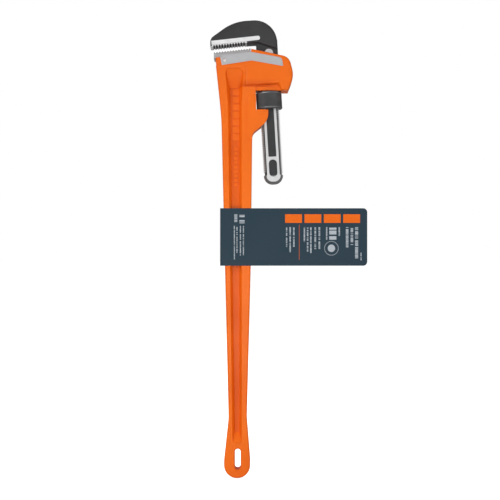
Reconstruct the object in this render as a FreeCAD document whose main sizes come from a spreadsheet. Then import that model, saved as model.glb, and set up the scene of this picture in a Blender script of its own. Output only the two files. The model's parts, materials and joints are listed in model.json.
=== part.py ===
"""Heavy-duty adjustable pipe wrench, 48 in nominal, as a parametric FreeCAD document.

Frame: millimetres, +Z up along the handle towards the jaws, +X from the jaws' mouth towards the back of the
hook jaw, +Y through the wrench's thickness. The origin is the middle of the gap between the two toothed jaws.
The hook jaw and its nut lean with the jaw's shank, so both are modelled upright about the nut's centre and
then placed.
"""
import FreeCAD, Part
import math
import os
from FreeCAD import Placement, Rotation, Vector

# ---------------------------------------------------------------------------------------------------------
# Driving dimensions: name, value, what it is
# ---------------------------------------------------------------------------------------------------------
SIZES = [
    # the jaws
    ("jaw_gap", 14.0, "opening between the tooth tips as set"),
    ("tooth_slope", 6.2, "degrees that the tooth lines rise towards the shank"),
    ("tooth_pitch", 6.35, "spacing of the teeth"),
    ("tooth_depth", 3.0, "depth of a tooth"),
    ("tooth_flat", 0.8, "width of a tooth's flat tip"),
    ("jaw_reach", 41.0, "first tooth to the middle of the mouth"),
    ("jaw_depth", 44.0, "thickness of the hook's head and of the heel jaw"),
    # the shank of the hook jaw and its nut
    ("nut_across", 90.3, "middle of the mouth to the nut's axis, along X"),
    ("nut_drop", 121.2, "middle of the mouth down to the nut's centre"),
    ("shank_lean", 3.3, "degrees that the shank leans towards the mouth"),
    ("shank_width", 45.0, "shank over the thread crests"),
    ("shank_thick", 27.0, "shank through its ground sides"),
    ("shank_below", 195.0, "nut's centre to the shank's lower end"),
    ("thread_pitch", 5.08, "lead of the single-start thread"),
    ("thread_depth", 2.6, "height of a thread ridge"),
    ("thread_crest", 1.5, "width of a ridge at its crest"),
    ("thread_flank", 15.0, "degrees of slope of a ridge's flanks"),
    ("thread_play", 0.45, "clearance between nut and shank threads, each way"),
    ("nut_wide", 60.0, "outside diameter of the nut"),
    ("nut_tall", 40.0, "height of the nut"),
    ("nut_rim", 2.0, "bevel of the nut's rims"),
    ("thread_above", 40.0, "nut's centre to the upper end of the threads"),
    ("thread_below", 174.0, "nut's centre to the lower end of the threads"),
    ("neck_rise", 94.0, "nut's centre up to the foot of the neck"),
    ("neck_step", 4.1, "neck's back behind the thread crests"),
    ("neck_thick", 29.0, "thickness of the neck above the ground sides"),
    ("recess_deep", 1.5, "depth of the recess and the oval in the shank's sides"),
    ("shank_bevel", 6.0, "bevel round the shank's lower end"),
    # the hook's head
    ("head_top", 187.0, "nut's centre to the top of the hook"),
    ("nose_reach", 129.5, "shank axis to the nose of the hook"),
    ("crown_round", 52.0, "radius of the hook's back corner"),
    ("crown_edge", 5.0, "rounding of the head's edges"),
    ("land_long", 116.5, "hook's nose to the end of the ground land above the teeth"),
    ("land_wide", 9.6, "width of that land"),
    ("land_proud", 0.8, "height of the ground lands over the forging or casting"),
    # the housing at the top of the handle
    ("housing_deep", 60.4, "thickness of the housing's painted sides"),
    ("housing_back", 147.5, "middle of the mouth to the back of the housing"),
    ("housing_edge", 6.0, "rounding of the housing's edges"),
    ("skirt_deep", 41.0, "thickness of the strip over the nut"),
    ("slot_play", 0.5, "clearance on each side of the shank in the housing"),
    ("window_play", 0.4, "clearance over and under the tilted nut"),
    ("window_front", 0.4, "clearance between the upright nut and the handle"),
    ("lip_drop", 3.6, "middle of the mouth down to the lip behind the heel jaw"),
    # the handle
    ("handle_reach", 999.8, "middle of the mouth to the handle's lower end"),
    ("beam_deep", 34.0, "thickness over the beam's flanges"),
    ("beam_edge", 4.0, "rounding of the beam's edges"),
    ("lug_deep", 41.0, "thickness of the lug that straddles the shank"),
    ("shoulder_drop", 44.0, "middle of the mouth down to the shoulder's upper end"),
    ("shoulder_tall", 86.0, "height over which the beam thickens into the housing"),
    ("lug_across", 88.0, "middle of the mouth to the lug's free side"),
    ("web_thick", 9.0, "thickness of the beam's web"),
    ("web_draft", 24.0, "degrees of draft on the flanges' inner walls"),
    ("ramp_tall", 42.0, "height over which the web rises to the housing's face"),
    ("recess_rise", 82.0, "handle's lower end up to the recess"),
    ("foot_ramp_tall", 24.0, "height over which the web rises to the rounded end's face"),
    ("grip_wide", 42.6, "width of the handle at its narrowest"),
    ("knob_wide", 61.0, "width of the rounded end"),
    ("knob_across", 15.6, "middle of the mouth to the rounded end's axis"),
    ("hang_wide", 13.7, "width of the hanging slot"),
    ("hang_tall", 49.0, "length of the hanging slot"),
    ("hang_rise", 19.5, "handle's lower end up to the hanging slot"),
    ("hang_rim", 2.0, "bevel round the hanging slot"),
    ("beam_axis", 17.1, "middle of the mouth to the handle's axis"),
    # the heel jaw and its pin
    ("heel_long", 85.5, "length of the heel jaw's tooth plate"),
    ("heel_plate", 10.0, "thickness of the heel jaw's tooth plate"),
    ("heel_nose", 4.0, "height of the hook under the heel jaw's front"),
    ("heel_nose_long", 15.5, "length of that hook"),
    ("heel_tang_long", 45.0, "length of the heel jaw's tang"),
    ("heel_tang_deep", 14.0, "thickness of the heel jaw's tang"),
    ("heel_tang_drop", 20.0, "height of the heel jaw's tang"),
    ("pin_wide", 7.0, "diameter of the heel jaw's pin"),
    ("pin_bevel", 0.8, "bevel of the pin's ends"),
    ("pin_along", 15.5, "pin from the middle of the mouth, along the heel jaw"),
    ("pin_below", 22.7, "pin under the tooth tips"),
    # the springs in the housing
    ("leaf_thick", 1.8, "thickness of the flat spring"),
    ("leaf_wide", 18.0, "width of the flat spring"),
    ("leaf_low", 29.0, "nut's centre to the flat spring's lower end"),
    ("leaf_high", 83.0, "nut's centre to the flat spring's upper end"),
    ("leaf_gap", 0.35, "clearance between the flat spring and the thread crests"),
    ("coil_wide", 12.0, "outside diameter of the coil spring"),
    ("coil_wire", 1.8, "wire of the coil spring"),
    ("coil_turns", 6.0, "turns of the coil spring"),
    ("coil_rise", 54.0, "nut's centre up to the coil spring's axis"),
    ("coil_seat", 138.0, "middle of the mouth to the bottom of the coil's bore"),
    ("rivet_wide", 4.0, "diameter of the rivet"),
    # the card sleeve
    ("card_thick", 0.7, "thickness of the card"),
    ("card_left", 23.9, "middle of the mouth to the sleeve's folded edge"),
    ("card_right", 317.8, "middle of the mouth to the flag's edge"),
    ("card_wrap", 58.0, "middle of the mouth to where the card leaves the handle's back"),
    ("card_join", 80.0, "middle of the mouth to where the two plies meet"),
    ("card_top", 372.2, "middle of the mouth down to the sleeve's top"),
    ("card_tall", 133.6, "height of the sleeve"),
    ("card_round", 9.4, "corner radius of the flag"),
]

doc = FreeCAD.newDocument("pipe_wrench")
sheet = doc.addObject("Spreadsheet::Sheet", "Sizes")
for row, (alias, value, meaning) in enumerate(SIZES, start=1):
    sheet.set(f"A{row}", alias)
    sheet.set(f"B{row}", str(value))
    sheet.set(f"C{row}", meaning)
    sheet.setAlias(f"B{row}", alias)
doc.recompute()


def size(alias):
    """A driving dimension, read from the sheet."""
    return float(sheet.get(alias))


# ---------------------------------------------------------------------------------------------------------
# Frames of the leaning pieces
# ---------------------------------------------------------------------------------------------------------
ACROSS = Vector(0, 1, 0)
nut_centre = Vector(size("nut_across"), 0, -size("nut_drop"))
shank_frame = Placement(nut_centre, Rotation(ACROSS, -size("shank_lean")))
tip_drop = size("jaw_gap") / 2 / math.cos(math.radians(size("tooth_slope")))
heel_frame = Placement(Vector(0, 0, -tip_drop), Rotation(ACROSS, -size("tooth_slope")))
hook_tips = Placement(Vector(0, 0, tip_drop), Rotation(ACROSS, -size("tooth_slope")))


def to_frame(frame, x, z):
    """A point of the wrench's frame, as (x, z) of a leaning piece's frame."""
    local = frame.inverse().multVec(Vector(x, 0, z))
    return local.x, local.z


def from_frame(frame, x, z):
    """A point (x, z) of a leaning piece's frame, as (x, z) of the wrench's frame."""
    world = frame.multVec(Vector(x, 0, z))
    return world.x, world.z


# ---------------------------------------------------------------------------------------------------------
# Drawing helpers
# ---------------------------------------------------------------------------------------------------------
def rounded(corners):
    """Lines and arcs of a closed outline given as (x, y) or (x, y, radius) corners."""
    points = [Vector(c[0], c[1], 0) for c in corners]
    radii = [c[2] if len(c) > 2 else 0 for c in corners]
    starts, ends, arcs = [], [], []
    for i, corner in enumerate(points):
        back = (points[i - 1] - corner).normalize()
        ahead = (points[(i + 1) % len(points)] - corner).normalize()
        if not radii[i]:
            starts.append(corner)
            ends.append(corner)
            arcs.append(None)
            continue
        half = back.getAngle(ahead) / 2
        reach = radii[i] / math.tan(half)
        middle = corner + (back + ahead).normalize() * (radii[i] / math.sin(half) - radii[i])
        starts.append(corner + back * reach)
        ends.append(corner + ahead * reach)
        arcs.append(Part.Arc(starts[i], middle, ends[i]))
    geometry = []
    for i, arc in enumerate(arcs):
        if arc:
            geometry.append(arc)
        following = starts[(i + 1) % len(points)]
        if (following - ends[i]).Length > 1e-6:
            geometry.append(Part.LineSegment(ends[i], following))
    return geometry


def new_body(name):
    body = doc.addObject("PartDesign::Body", name)
    body.Label = name
    return body


def sketch(body, name, plane, *outlines, lift=0.0, rise=0.0, turn=None):
    """A sketch on an origin plane of the body; lift moves it along its normal, rise along its second axis."""
    made = body.newObject("Sketcher::SketchObject", f"{body.Name}_{name}")
    support = next(o for o in body.Origin.OriginFeatures if o.Role == plane)
    made.AttachmentSupport = [(support, "")]
    made.MapMode = "FlatFace"
    made.AttachmentOffset = Placement(Vector(0, rise, lift), turn or Rotation())
    for outline in outlines:
        made.addGeometry(outline, False)
    return made


def feature(body, kind, name, profile=None, bind=(), **settings):
    """A PartDesign feature whose listed properties are bound to the sheet."""
    made = body.newObject(f"PartDesign::{kind}", f"{body.Name}_{name}")
    if profile:
        made.Profile = (profile, [""])
    for key, value in settings.items():
        setattr(made, key, value)
    for key, expression in dict(bind).items():
        made.setExpression(key, expression)
    doc.recompute()
    return made


def edges_where(shape, test):
    """Names of the edges whose middle point and direction pass the test."""
    names = []
    for number, edge in enumerate(shape.Edges, start=1):
        if edge.Degenerated:
            continue
        middle = edge.valueAt((edge.FirstParameter + edge.LastParameter) / 2)
        along = edge.tangentAt((edge.FirstParameter + edge.LastParameter) / 2)
        if test(middle, along):
            names.append(f"Edge{number}")
    return names


def dress(body, kind, name, base, edges, size_name, expression):
    """A Fillet or Chamfer on named edges of a feature."""
    made = body.newObject(f"PartDesign::{kind}", f"{body.Name}_{name}")
    made.Base = (base, edges)
    made.setExpression(size_name, expression)
    doc.recompute()
    return made


def circle(x, y, radius):
    return [Part.Circle(Vector(x, y, 0), Vector(0, 0, 1), radius)]


def box_outline(low_x, low_y, high_x, high_y, radius=0):
    return rounded([
        (low_x, low_y, radius), (high_x, low_y, radius), (high_x, high_y, radius), (low_x, high_y, radius)])


# ---------------------------------------------------------------------------------------------------------
# Places shared by pieces that fit each other
# ---------------------------------------------------------------------------------------------------------
shank_half = size("shank_width") / 2
root_radius = shank_half - size("thread_depth")
nut_half = size("nut_tall") / 2
lean = math.radians(size("shank_lean"))
window_half = nut_half * math.cos(lean) + size("nut_wide") / 2 * math.sin(lean) + size("window_play")
window_top = -size("nut_drop") + window_half
window_low = -size("nut_drop") - window_half
window_left = size("nut_across") - size("nut_wide") / 2 - size("window_front")
window_face = window_left - window_half * math.tan(lean)
neck_back = shank_half + size("neck_step")
slot_right = size("nut_across") + neck_back + 2 * size("slot_play")
plate_low = -size("heel_plate")
nose_low = plate_low - size("heel_nose")
heel_left = -size("jaw_reach") + 2.5
heel_right = heel_left + size("heel_long")
nose_inner = heel_left + size("heel_nose_long")
tang_left = nose_inner - 2.0
tang_right = tang_left + size("heel_tang_long")
tang_low = plate_low - size("heel_tang_drop")
lip_top = -size("lip_drop")
lug_front = size("lug_across")
pin_place = from_frame(heel_frame, -size("pin_along"), -size("pin_below"))
coil_place = shank_frame.multVec(Vector(shank_half, 0, size("coil_rise")))
neck_low = size("neck_rise")
thread_high, thread_low = size("thread_above"), -size("thread_below")
way_wide = {"Length": "Sizes.neck_thick + 2 * Sizes.slot_play"}


# ---------------------------------------------------------------------------------------------------------
# Handle: one casting, an I-beam with a rounded end, and the housing that carries both jaws
# ---------------------------------------------------------------------------------------------------------
def make_handle():
    body = new_body("handle")
    end = -size("handle_reach")
    axis = size("beam_axis")
    grip = size("grip_wide") / 2
    knob = size("knob_wide") / 2
    knob_left, knob_right = size("knob_across") - knob, size("knob_across") + knob
    seat = [from_frame(heel_frame, x, z) for x, z in (
        (heel_left + 2.4, nose_low), (nose_inner, nose_low), (nose_inner, plate_low),
        (heel_right, plate_low))]
    lip = seat[-1][0]
    back = size("housing_back")
    head = sketch(body, "head_outline", "XZ_Plane", rounded([
        *seat, (lip + 0.6, lip_top), (136.0, -22, 24),
        (back, -66, 50), (back - 13, window_top), (back - 30, window_top), (back - 36, -84),
        (33.5, -89), (33.5, -50), (-32.0, -50)]))
    head_pad = feature(body, "Pad", "head", head, {"Length": "Sizes.housing_deep"}, Midplane=True)
    side = size("housing_deep") / 2
    outer = edges_where(head_pad.Shape, lambda p, t: abs(abs(p.y) - side) < 0.01 and abs(t.y) < 0.5
                        and (p.x < -32 or p.x > back - 29 or (p.x > lip and p.z > -40)))
    dress(body, "Fillet", "housing_edges", head_pad, outer, "Radius", "Sizes.housing_edge")
    under = edges_where(body.Tip.Shape, lambda p, t: abs(abs(p.y) - side) < 0.01 and abs(t.y) < 0.5
                        and p.x < back - 32 and p.z < -48)
    dress(body, "Fillet", "housing_underside", body.Tip, under, "Radius", "Sizes.housing_edge")

    beam = sketch(body, "beam_outline", "XZ_Plane", rounded([
        (-34.0, -28), (-21.0, -165, 500), (axis - grip, end + 140, 120), (knob_left, end + 42, 60),
        (knob_left, end, knob - 0.5), (knob_right, end, knob - 0.5), (knob_right, end + 42, 60),
        (axis + grip, end + 140, 120), (47.6, -500, 4000), (50.8, -198, 19),
        (72.0, -181.4, 12), (72.0, window_low), (window_left, window_low),
        (window_left, -size("nut_drop")), (window_face, window_top), (110.0, window_top), (110.0, -60),
        (20.0, -30)]))
    beam_pad = feature(body, "Pad", "beam", beam, {"Length": "Sizes.beam_deep"}, Midplane=True)
    rim = edges_where(beam_pad.Shape, lambda p, t: abs(p.y) > 12 and abs(t.y) < 0.5 and p.z < -60
                      and (p.x < window_left - 8 or p.z < window_low - 30))
    dress(body, "Fillet", "beam_edges", beam_pad, rim, "Radius", "Sizes.beam_edge")
    # the shoulder's upper end stays just inside the housing, its lower end is flush with the beam
    upper, lower = side - 0.2, size("beam_deep") / 2
    upper_front, lower_front = -33.2, -24.2
    shoulder_high = sketch(body, "shoulder_high_outline", "XY_Plane", rounded([
        (upper_front, -upper, size("beam_edge")), (window_face, -upper), (window_face, upper),
        (upper_front, upper, size("beam_edge"))]), lift=-size("shoulder_drop"))
    shoulder_low = sketch(body, "shoulder_low_outline", "XY_Plane", rounded([
        (lower_front, -lower, size("beam_edge")), (window_face, -lower), (window_face, lower),
        (lower_front, lower, size("beam_edge"))]), lift=-size("shoulder_drop") - size("shoulder_tall"))
    feature(body, "AdditiveLoft", "shoulder", shoulder_high, Sections=[shoulder_low], Ruled=True)
    skirt = sketch(body, "skirt_outline", "XZ_Plane", rounded([
        (36, window_top), (back - 15, window_top, 3), (back - 9, -80), (36, -70)]))
    feature(body, "Pad", "skirt", skirt, {"Length": "Sizes.skirt_deep"}, Midplane=True)
    lug = sketch(body, "lug_outline", "XZ_Plane", rounded([
        (40, window_top + 5), (window_face, window_top + 5), (window_face, window_top),
        (window_left, -size("nut_drop")), (window_left, window_low),
        (lug_front, window_low), (lug_front, -169, 34), (50.8, -198, 19), (50.8, -214), (40, -205, 6)]))
    feature(body, "Pad", "lug", lug, {"Length": "Sizes.lug_deep"}, Midplane=True)
    land = sketch(body, "land_outline", "XZ_Plane", rounded([
        from_frame(heel_frame, nose_inner - 2.2, nose_low), *seat[1:],
        (119.5, -25.0, 10), (122.0, -44.5, 1.5),
        (49.3, -31.7), (-19.4, -42.4)]))
    feature(body, "Pad", "land", land, {"Length": "Sizes.housing_deep + 2 * Sizes.land_proud"},
            Midplane=True)

    # the way for the shank: its left side leans with the shank at rest, its right side lets it rock upright
    left = -shank_half - 2 * size("slot_play")
    shank_way = sketch(body, "shank_way_outline", "XZ_Plane", rounded([
        from_frame(shank_frame, left, 16), from_frame(shank_frame, left, 140), (slot_right, 20),
        (slot_right, window_top - 6)]))
    feature(body, "Pocket", "shank_way", shank_way, way_wide, Midplane=True)
    lug_way = sketch(body, "lug_way_outline", "XZ_Plane", box_outline(
        size("nut_across") - shank_half - 1.0, -230, lug_front + 5, window_low + 5))
    feature(body, "Pocket", "lug_way", lug_way, way_wide, Midplane=True)
    tang = sketch(body, "tang_way_outline", "XZ_Plane", rounded([
        from_frame(heel_frame, x, z) for x, z in (
            (tang_left, plate_low + 5), (tang_left, tang_low),
            (tang_right, tang_low), (tang_right, plate_low + 5))]))
    feature(body, "Pocket", "tang_way", tang, {"Length": "Sizes.heel_tang_deep"}, Midplane=True)
    pin = sketch(body, "pin_hole_outline", "XZ_Plane", circle(*pin_place, size("pin_wide") / 2))
    feature(body, "Pocket", "pin_hole", pin, {"Length": "Sizes.housing_deep + 10"}, Midplane=True)
    coil = sketch(body, "coil_bore_outline", "YZ_Plane", circle(0, coil_place.z, size("coil_wide") / 2 + 0.5),
                  lift=size("coil_seat"))
    feature(body, "Pocket", "coil_bore", coil, Length=size("coil_seat") - slot_right + 4)

    # the recess is drawn where its drafted walls would reach the plane of the housing's sides
    web_half = size("web_thick") / 2
    recess_low = end + size("recess_rise")
    flare = (side - size("beam_deep") / 2) * math.tan(math.radians(size("web_draft")))
    web = sketch(body, "recess_outline", "XZ_Plane", rounded([
        (-6.8 - flare, -54 + flare, 8 + flare), (5.0 - flare, recess_low - flare, 8 + flare),
        (26.5 + flare, recess_low - flare, 8 + flare), (26.0 + flare, -54 + flare, 8 + flare)]), lift=side)
    recess = feature(body, "Pocket", "recess", web, {
        "Length": "(Sizes.housing_deep - Sizes.web_thick) / 2", "TaperAngle": "-Sizes.web_draft"})
    mirror_front(body, "recess_back", recess)
    ramp_head, ramp_foot = -49.5, -49.5 - size("ramp_tall")
    ramp_wide, foot_wide = 48.0, 33.0
    ramp = sketch(body, "ramp_outline", "YZ_Plane", rounded([
        (-side + 1.0, ramp_head), (-web_half, ramp_foot), (web_half, ramp_foot),
        (side - 1.0, ramp_head)]), lift=axis - 6.0)
    feature(body, "Pad", "ramp", ramp, Midplane=True, Length=ramp_wide)
    foot_ramp = sketch(body, "foot_ramp_outline", "YZ_Plane", rounded([
        (0.5 - lower, recess_low + 1), (lower - 0.5, recess_low + 1),
        (web_half, recess_low + 1 + size("foot_ramp_tall")),
        (-web_half, recess_low + 1 + size("foot_ramp_tall"))]), lift=axis - 1.0)
    feature(body, "Pad", "foot_ramp", foot_ramp, Midplane=True, Length=foot_wide)
    hang_half, hang_low = size("hang_wide") / 2, end + size("hang_rise")
    hang = sketch(body, "hang_slot_outline", "XZ_Plane", box_outline(
        axis - hang_half, hang_low, axis + hang_half, hang_low + size("hang_tall"), hang_half - 0.01))
    slot = feature(body, "Pocket", "hang_slot", hang, Midplane=True, Length=100)
    rims = edges_where(slot.Shape, lambda p, t: abs(t.y) < 0.5 and abs(p.x - axis) < hang_half + 0.5
                       and hang_low - 1 < p.z < hang_low + size("hang_tall") + 1 and abs(p.y) > 15)
    dress(body, "Chamfer", "hang_slot_rim", slot, rims, "Size", "Sizes.hang_rim")
    return body


# ---------------------------------------------------------------------------------------------------------
# Heel jaw: a hardened block whose tooth plate sits on the housing, with a tang pinned in its groove
# ---------------------------------------------------------------------------------------------------------
def cut_teeth(body, count, start, level, upwards, turn=None):
    """A row of V-shaped grooves across a jaw, from start along the sketch's first axis, tips at level."""
    pitch, depth, flat = size("tooth_pitch"), size("tooth_depth"), size("tooth_flat") / 2
    over = 2.0
    flare = (pitch / 2 - flat) * over / depth
    tip = level + over * upwards
    groove = sketch(body, "tooth_outline", "XZ_Plane", rounded([
        (start + flat - flare, tip), (start + pitch / 2, level - depth * upwards),
        (start + pitch - flat + flare, tip)]), turn=turn)
    first = feature(body, "Pocket", "tooth", groove, {"Length": "Sizes.jaw_depth + 6"}, Midplane=True)
    row = body.newObject("PartDesign::LinearPattern", f"{body.Name}_teeth")
    row.Originals = [first]
    row.Direction = (groove, ["H_Axis"])
    row.Occurrences = count
    row.setExpression("Length", f"Sizes.tooth_pitch * {count - 1}")
    body.Tip = row
    doc.recompute()
    return row


def mirror_front(body, name, original):
    """Repeat a feature of the front face on the back face."""
    mirrored = body.newObject("PartDesign::Mirrored", f"{body.Name}_{name}")
    mirrored.Originals = [original]
    plane = next(o for o in body.Origin.OriginFeatures if o.Role == "XZ_Plane")
    mirrored.MirrorPlane = (plane, [""])
    body.Tip = mirrored
    doc.recompute()
    return mirrored


def make_heel_jaw():
    body = new_body("heel_jaw")
    count = int((heel_right - heel_left - 1) / size("tooth_pitch"))
    plate = sketch(body, "plate_outline", "XZ_Plane", rounded([
        (heel_left, 0), (heel_left - 1.5, nose_low, 1), (nose_inner, nose_low), (nose_inner, plate_low),
        (heel_right, plate_low), (heel_right, 0, 1)]))
    feature(body, "Pad", "plate", plate, {"Length": "Sizes.jaw_depth"}, Midplane=True)
    tang = sketch(body, "tang_outline", "XZ_Plane", box_outline(
        tang_left, tang_low, tang_right, plate_low + 2))
    feature(body, "Pad", "tang", tang, {"Length": "Sizes.heel_tang_deep"}, Midplane=True)
    pin = sketch(body, "pin_hole_outline", "XZ_Plane", circle(
        -size("pin_along"), -size("pin_below"), size("pin_wide") / 2))
    feature(body, "Pocket", "pin_hole", pin, {"Length": "Sizes.jaw_depth"}, Midplane=True)
    cut_teeth(body, count, heel_left + 1, 0, upwards=1)
    body.Placement = heel_frame
    return body


def make_heel_jaw_pin():
    """A bright steel pin, driven in across the housing and the heel jaw's tang."""
    body = new_body("heel_jaw_pin")
    round_bar = sketch(body, "bar_outline", "XZ_Plane", circle(0, 0, size("pin_wide") / 2))
    bar = feature(body, "Pad", "bar", round_bar, {"Length": "Sizes.housing_deep - 1"}, Midplane=True)
    ends = edges_where(bar.Shape, lambda p, t: abs(t.y) < 0.5)
    dress(body, "Chamfer", "ends", bar, ends, "Size", "Sizes.pin_bevel")
    body.Placement = Placement(Vector(pin_place[0], 0, pin_place[1]), Rotation())
    return body


# ---------------------------------------------------------------------------------------------------------
# Hook jaw: one forging, upright about the nut's centre until it is placed
# ---------------------------------------------------------------------------------------------------------
def tip_level(across):
    """Height of the hook's tooth tips in the shank's frame, at a distance across from the shank's axis."""
    first = to_frame(shank_frame, *from_frame(hook_tips, 0, 0))
    rake = math.radians(size("tooth_slope") - size("shank_lean"))
    return first[1] + (across - first[0]) * math.tan(rake)


def make_hook_jaw():
    body = new_body("hook_jaw")
    top, nose, back = size("head_top"), -size("nose_reach"), neck_back
    throat = -shank_half - 0.5
    first_tooth = to_frame(shank_frame, *from_frame(hook_tips, -size("jaw_reach"), 0))[0]
    count = 12
    last_tooth = first_tooth + (count + 0.4) * size("tooth_pitch")
    root = tip_level(last_tooth) + 0.4
    head = sketch(body, "head_outline", "XZ_Plane", rounded([
        (nose, tip_level(nose)), (nose + 1.0, 151.0, 16), (-72.0, top, 105), (24.5, top, size("crown_round")),
        (back, 116.8), (throat, root), (last_tooth + 1, root), (last_tooth, tip_level(last_tooth))]))
    head_pad = feature(body, "Pad", "head", head, {"Length": "Sizes.jaw_depth"}, Midplane=True)
    side = size("jaw_depth") / 2
    crown = edges_where(head_pad.Shape, lambda p, t: abs(abs(p.y) - side) < 0.01 and abs(t.y) < 0.5
                        and (p.z > 149 or p.x > back - 6 or (p.z < root and throat < p.x and abs(t.x) > 0.8)))
    dress(body, "Fillet", "crown_edges", head_pad, crown, "Radius", "Sizes.crown_edge")

    tooth_turn = Rotation(Vector(0, 0, 1), size("tooth_slope") - size("shank_lean"))
    low = Vector(nose, tip_level(nose) + size("tooth_depth") + 0.4, 0)
    land_low = tooth_turn.inverted().multVec(low)
    land = sketch(body, "land_outline", "XZ_Plane", rounded([
        (land_low.x + 3.5, land_low.y), (land_low.x + size("land_long"), land_low.y, 4.5),
        (land_low.x + size("land_long"), land_low.y + size("land_wide"), 4.5),
        (land_low.x + 3.5, land_low.y + size("land_wide"))]), turn=tooth_turn)
    feature(body, "Pad", "land", land, {"Length": "Sizes.jaw_depth + 2 * Sizes.land_proud"}, Midplane=True)

    neck = sketch(body, "neck_outline", "XZ_Plane", rounded([
        (throat, neck_low), (throat, root, 2.5), (throat - 4, root), (throat - 4, 140), (back, 140),
        (back, neck_low + 8, 6), (shank_half, neck_low)]))
    feature(body, "Pad", "neck", neck, {"Length": "Sizes.neck_thick"}, Midplane=True)
    bar = sketch(body, "bar_outline", "XZ_Plane", box_outline(-shank_half, thread_high - 2, shank_half, 112))
    feature(body, "Pad", "bar", bar, {"Length": "Sizes.shank_thick"}, Midplane=True)
    half = size("shank_thick") / 2
    chord = math.sqrt(root_radius ** 2 - half ** 2)
    core = sketch(body, "core_outline", "XY_Plane", [
        Part.LineSegment(Vector(-chord, -half, 0), Vector(chord, -half, 0)),
        Part.Arc(Vector(chord, -half, 0), Vector(root_radius, 0, 0), Vector(chord, half, 0)),
        Part.LineSegment(Vector(chord, half, 0), Vector(-chord, half, 0)),
        Part.Arc(Vector(-chord, half, 0), Vector(-root_radius, 0, 0), Vector(-chord, -half, 0))],
        lift=thread_high)
    feature(body, "Pad", "core", core, Length=thread_high - thread_low + 4, Reversed=True)
    end = sketch(body, "end_outline", "XZ_Plane", rounded([
        (-shank_half + 0.3, thread_low), (-shank_half + 0.3, -size("shank_below"), 20),
        (shank_half - 0.3, -size("shank_below"), 20), (shank_half - 0.3, thread_low)]))
    end_pad = feature(body, "Pad", "end", end, {"Length": "Sizes.shank_thick"}, Midplane=True)
    rim = edges_where(end_pad.Shape, lambda p, t: abs(abs(p.y) - half) < 0.01 and abs(t.y) < 0.5
                      and p.z < thread_low - 2 and (p.z < thread_low - 10 or abs(p.x) > 21))
    dress(body, "Chamfer", "end_bevel", end_pad, rim, "Size", "Sizes.shank_bevel")

    recess = sketch(body, "recess_outline", "XZ_Plane", rounded([
        (-9.2, -131, 1.5), (9.2, -131, 1.5), (9.2, 112, 9.1), (-9.2, 112, 9.1)]), lift=half)
    cut = feature(body, "Pocket", "recess", recess, {"Length": "Sizes.recess_deep"})
    mirror_front(body, "recess_back", cut)
    oval = sketch(body, "oval_outline", "XZ_Plane", box_outline(-9.5, -177.5, 9.5, -137.7, 9.49), lift=half)
    cut = feature(body, "Pocket", "oval", oval, {"Length": "Sizes.recess_deep"})
    mirror_front(body, "oval_back", cut)
    arch = sketch(body, "arch_outline", "XZ_Plane", rounded([
        (-4.5, neck_low + 3), (15.5, neck_low + 3), (15.5, 120, 9.9), (-4.5, 120, 9.9)]),
        lift=size("neck_thick") / 2)
    cut = feature(body, "Pocket", "arch", arch, {"Length": "(Sizes.neck_thick - Sizes.shank_thick) / 2"})
    mirror_front(body, "arch_back", cut)
    start = tooth_turn.inverted().multVec(Vector(first_tooth, tip_level(first_tooth), 0))
    cut_teeth(body, count, start.x, start.y, upwards=-1, turn=tooth_turn)
    add_ridges(body)
    body.Placement = shank_frame
    return body


def add_ridges(body):
    """Thread ridges on the two edges of the shank: arcs of a right-hand screw, half a lead apart."""
    pitch = size("thread_pitch")
    mean = (root_radius + shank_half) / 2
    helix = math.degrees(math.atan(pitch / (2 * math.pi * mean)))
    crest = size("thread_crest") / 2
    foot = crest + (size("thread_depth") + 0.3) * math.tan(math.radians(size("thread_flank")))
    sweep = 2 * math.degrees(math.asin(size("shank_thick") / 2 / shank_half))
    count = int((thread_high - thread_low - 2) / pitch)
    lowest = math.ceil(thread_low / pitch + 0.6) * pitch
    ridges = []
    for side, phase in ((1, 0.0), (-1, 0.5)):
        ridge = sketch(body, "ridge_right" if side > 0 else "ridge_left", "XZ_Plane", rounded([
            (side * (root_radius - 0.3), -foot), (side * shank_half, -crest),
            (side * shank_half, crest), (side * (root_radius - 0.3), foot)]),
            rise=lowest + phase * pitch, turn=Rotation(Vector(1, 0, 0), side * helix))
        turned = feature(body, "Revolution", ridge.Name + "_turned", ridge, Angle=sweep, Midplane=True,
                         ReferenceAxis=(ridge, ["V_Axis"]))
        ridges.append(turned)
    rows = body.newObject("PartDesign::LinearPattern", f"{body.Name}_ridges")
    rows.Originals = ridges
    axis = next(o for o in body.Origin.OriginFeatures if o.Role == "Z_Axis")
    rows.Direction = (axis, [""])
    rows.Occurrences = count
    rows.setExpression("Length", f"Sizes.thread_pitch * {count - 1}")
    body.Tip = rows
    doc.recompute()
    return rows


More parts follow.
